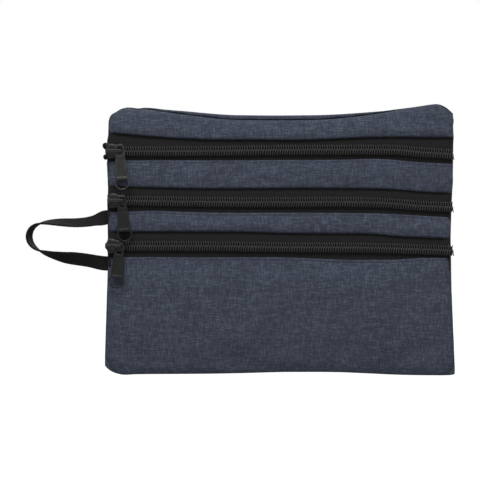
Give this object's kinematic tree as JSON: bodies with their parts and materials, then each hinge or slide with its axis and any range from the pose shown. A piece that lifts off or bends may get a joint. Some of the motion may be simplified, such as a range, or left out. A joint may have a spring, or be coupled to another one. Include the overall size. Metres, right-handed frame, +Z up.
{
  "type": "travel document organizer pouch",
  "caption": "Flat soft pouch with parallel coil zippers across its front, each opening its own document pocket, and a webbing wrist loop on one side seam.",
  "frame": {"origin": "middle of the pouch's bottom edge, in the mid-plane of the side seams", "axes": "+X to the right seen from the front, +Y towards the back, +Z up; the front with the zippers faces -Y"},
  "size_m": [0.2659, 0.0148, 0.1674],
  "materials": {
    "outer_fabric": "matte heathered polyester, navy grey",
    "lining": "matte black polyester lining",
    "seam_tape": "matte black folded seam",
    "thread": "navy polyester thread",
    "webbing": "matte black webbing",
    "zipper_tape": "matte black woven tape",
    "zipper_coil": "satin black nylon coil",
    "slider_metal": "satin black enamel on cast zinc",
    "pull_tab_metal": "satin gunmetal enamel on cast zinc"
  },
  "bodies": {
    "pouch": {"back_panel": "outer_fabric", "back_lining": "lining", "divider_rear": "lining", "divider_front": "lining", "top_strip": "outer_fabric", "strip_upper": "outer_fabric", "strip_lower": "outer_fabric", "front_panel": "outer_fabric", "seam_binding": "seam_tape", "topstitching": "thread", "wrist_loop_ends": "webbing", "zip1_tape_upper": "zipper_tape", "zip2_tape_upper": "zipper_tape", "zip3_tape_upper": "zipper_tape", "zip1_coil_upper": "zipper_coil", "zip2_coil_upper": "zipper_coil", "zip3_coil_upper": "zipper_coil"},
    "zip1_slider_body": {"zip1_slider": "slider_metal"},
    "zip1_pull_body": {"zip1_pull_tab": "pull_tab_metal"},
    "zip1_lower_lip": {"zip1_tape_lower": "zipper_tape", "zip1_coil_lower": "zipper_coil"},
    "zip2_slider_body": {"zip2_slider": "slider_metal"},
    "zip2_pull_body": {"zip2_pull_tab": "pull_tab_metal"},
    "zip2_lower_lip": {"zip2_tape_lower": "zipper_tape", "zip2_coil_lower": "zipper_coil"},
    "zip3_slider_body": {"zip3_slider": "slider_metal"},
    "zip3_pull_body": {"zip3_pull_tab": "pull_tab_metal"},
    "zip3_lower_lip": {"zip3_tape_lower": "zipper_tape", "zip3_coil_lower": "zipper_coil"},
    "wrist_loop_body": {"wrist_loop": "webbing"}
  },
  "joints": [
    {"name": "zip1_slide", "type": "slide", "parent": "pouch", "child": "zip1_slider_body", "axis": [1, 0, 0], "range_m": [0, 0.198], "deforming": ["zip1_coil_upper"]},
    {"name": "zip1_pull_swing", "type": "hinge", "parent": "zip1_slider_body", "child": "zip1_pull_body", "pos_m": [-0.0986, -0.00805, 0.139], "axis": [0, -1, 0], "range_deg": [-38, 70]},
    {"name": "zip1_mouth", "type": "slide", "parent": "pouch", "child": "zip1_lower_lip", "axis": [0, -0.8, -0.6], "range_m": [0, 0.014], "deforming": ["zip1_coil_lower", "zip1_tape_lower"]},
    {"name": "zip2_slide", "type": "slide", "parent": "pouch", "child": "zip2_slider_body", "axis": [0.9999, 0, -0.0155], "range_m": [0, 0.198], "deforming": ["zip2_coil_upper"]},
    {"name": "zip2_pull_swing", "type": "hinge", "parent": "zip2_slider_body", "child": "zip2_pull_body", "pos_m": [-0.0974, -0.00805, 0.10825], "axis": [0, -1, 0], "range_deg": [-38, 70]},
    {"name": "zip2_mouth", "type": "slide", "parent": "pouch", "child": "zip2_lower_lip", "axis": [0, -0.8, -0.6], "range_m": [0, 0.014], "deforming": ["zip2_coil_lower", "zip2_tape_lower"]},
    {"name": "zip3_slide", "type": "slide", "parent": "pouch", "child": "zip3_slider_body", "axis": [0.9999, 0, -0.0117], "range_m": [0, 0.198], "deforming": ["zip3_coil_upper"]},
    {"name": "zip3_pull_swing", "type": "hinge", "parent": "zip3_slider_body", "child": "zip3_pull_body", "pos_m": [-0.0987, -0.00805, 0.08031], "axis": [0, -1, 0], "range_deg": [-38, 70]},
    {"name": "zip3_mouth", "type": "slide", "parent": "pouch", "child": "zip3_lower_lip", "axis": [0, -0.8, -0.6], "range_m": [0, 0.018], "deforming": ["zip3_coil_lower", "zip3_tape_lower"]},
    {"name": "wrist_loop_swing", "type": "hinge", "parent": "pouch", "child": "wrist_loop_body", "pos_m": [-0.1083, 0, 0.0837], "axis": [0, 0, 1], "range_deg": [-80, 50]}
  ],
  "couplings": [
    {"joint": "zip1_mouth", "follows": "zip1_slide", "ratio": 0.0707},
    {"joint": "zip2_mouth", "follows": "zip2_slide", "ratio": 0.0707},
    {"joint": "zip3_mouth", "follows": "zip3_slide", "ratio": 0.0909}
  ]
}
